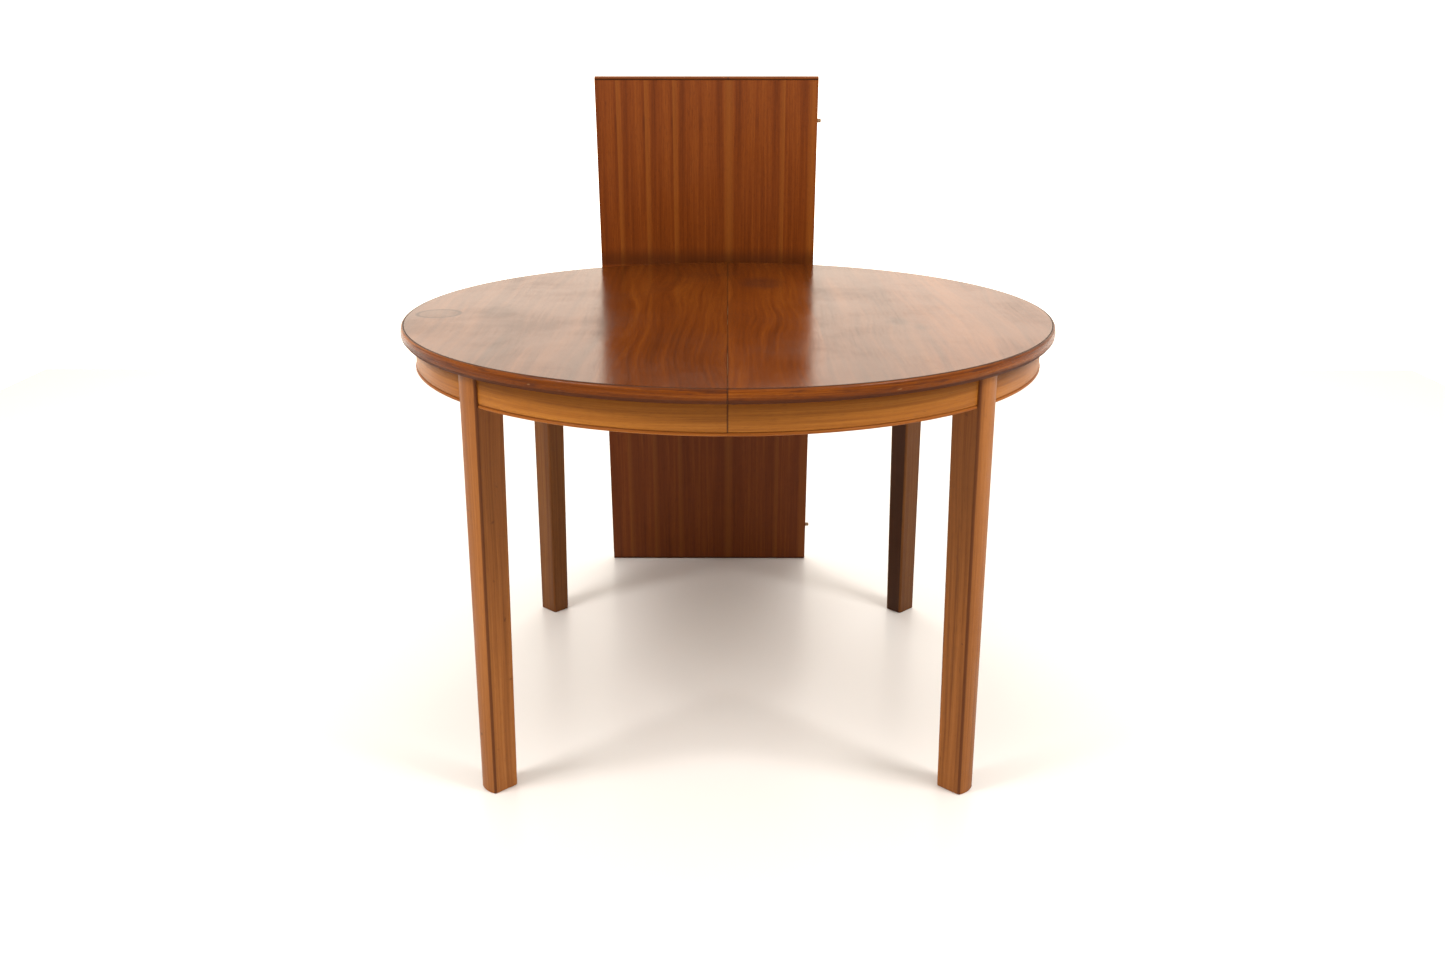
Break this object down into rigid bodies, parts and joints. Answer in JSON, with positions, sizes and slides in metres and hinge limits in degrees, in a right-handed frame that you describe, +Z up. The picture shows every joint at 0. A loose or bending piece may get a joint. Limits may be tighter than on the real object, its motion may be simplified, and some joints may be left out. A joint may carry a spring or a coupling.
{
  "type": "round extension dining table",
  "caption": "Round wooden dining table on tapered legs, with a top that slides apart on dovetailed rails, swing catches under it and a loose leaf leaning behind it.",
  "frame": {"origin": "on the floor under the centre of the closed round top", "axes": "+X along the slide, from the left half to the right half; +Y to the back, where the leaf leans; +Z up"},
  "size_m": [1.1098, 1.2257, 1.1015],
  "materials": {
    "teak_top": "veneered teak with a satin to glossy varnish",
    "teak_lipping": "solid teak, varnished, reddish brown",
    "teak_apron": "teak veneer on a bent lamination, satin varnish",
    "teak_edging": "solid teak strip, satin varnish",
    "teak_leg": "solid teak, satin varnish",
    "teak_leaf": "veneered teak, satin varnish",
    "beech": "plain beech, unfinished",
    "brass": "dulled brass",
    "steel": "bright zinc plated steel"
  },
  "bodies": {
    "left_half": {"top_panel_left": "teak_top", "edge_lipping_left": "teak_lipping", "apron_front_left": "teak_apron", "apron_side_left": "teak_apron", "apron_back_left": "teak_apron", "apron_edging_front_left": "teak_edging", "apron_edging_side_left": "teak_edging", "apron_edging_back_left": "teak_edging", "leg_front_left": "teak_leg", "leg_back_left": "teak_leg", "corner_block_front_left": "beech", "corner_block_back_left": "beech", "apron_dowels_left": "beech", "leg_bolts_left": "steel", "leg_washers_left": "steel", "leg_nuts_left": "steel", "corner_block_screws_left": "steel", "batten_left": "beech", "batten_screws_left": "steel", "slide_rail_front_left": "beech", "slide_rail_back_left": "beech", "rail_screws_left": "steel", "rail_stops_left": "beech", "stop_screws_left": "steel", "locating_pegs": "beech", "catch_pivots": "brass"},
    "right_half": {"top_panel_right": "teak_top", "edge_lipping_right": "teak_lipping", "apron_front_right": "teak_apron", "apron_side_right": "teak_apron", "apron_back_right": "teak_apron", "apron_edging_front_right": "teak_edging", "apron_edging_side_right": "teak_edging", "apron_edging_back_right": "teak_edging", "leg_front_right": "teak_leg", "leg_back_right": "teak_leg", "corner_block_front_right": "beech", "corner_block_back_right": "beech", "apron_dowels_right": "beech", "leg_bolts_right": "steel", "leg_washers_right": "steel", "leg_nuts_right": "steel", "corner_block_screws_right": "steel", "batten_right": "beech", "batten_screws_right": "steel", "slide_rail_front_right": "beech", "slide_rail_back_right": "beech", "rail_screws_right": "steel", "rail_stops_right": "beech", "stop_screws_right": "steel", "catch_studs": "brass"},
    "catch_hook_front": {"catch_hook_front": "brass"},
    "catch_hook_back": {"catch_hook_back": "brass"},
    "leaf": {"leaf_panel": "teak_leaf", "leaf_lipping_upper": "teak_lipping", "leaf_lipping_lower": "teak_lipping", "leaf_pegs": "beech"}
  },
  "joints": [
    {"name": "top_slide", "type": "slide", "parent": "left_half", "child": "right_half", "axis": [1, 0, 0], "range_m": [0, 0.475]},
    {"name": "front_hook_swing", "type": "hinge", "parent": "left_half", "child": "catch_hook_front", "pos_m": [-0.035, -0.092, 0.695], "axis": [0, 0, -1], "range_deg": [0, 180]},
    {"name": "back_hook_swing", "type": "hinge", "parent": "left_half", "child": "catch_hook_back", "pos_m": [-0.035, 0.092, 0.695], "axis": [0, 0, 1], "range_deg": [0, 180]},
    {"name": "leaf_lift", "type": "slide", "parent": "left_half", "child": "leaf", "axis": [0, 0, 1], "range_m": [0, 0.75]}
  ]
}
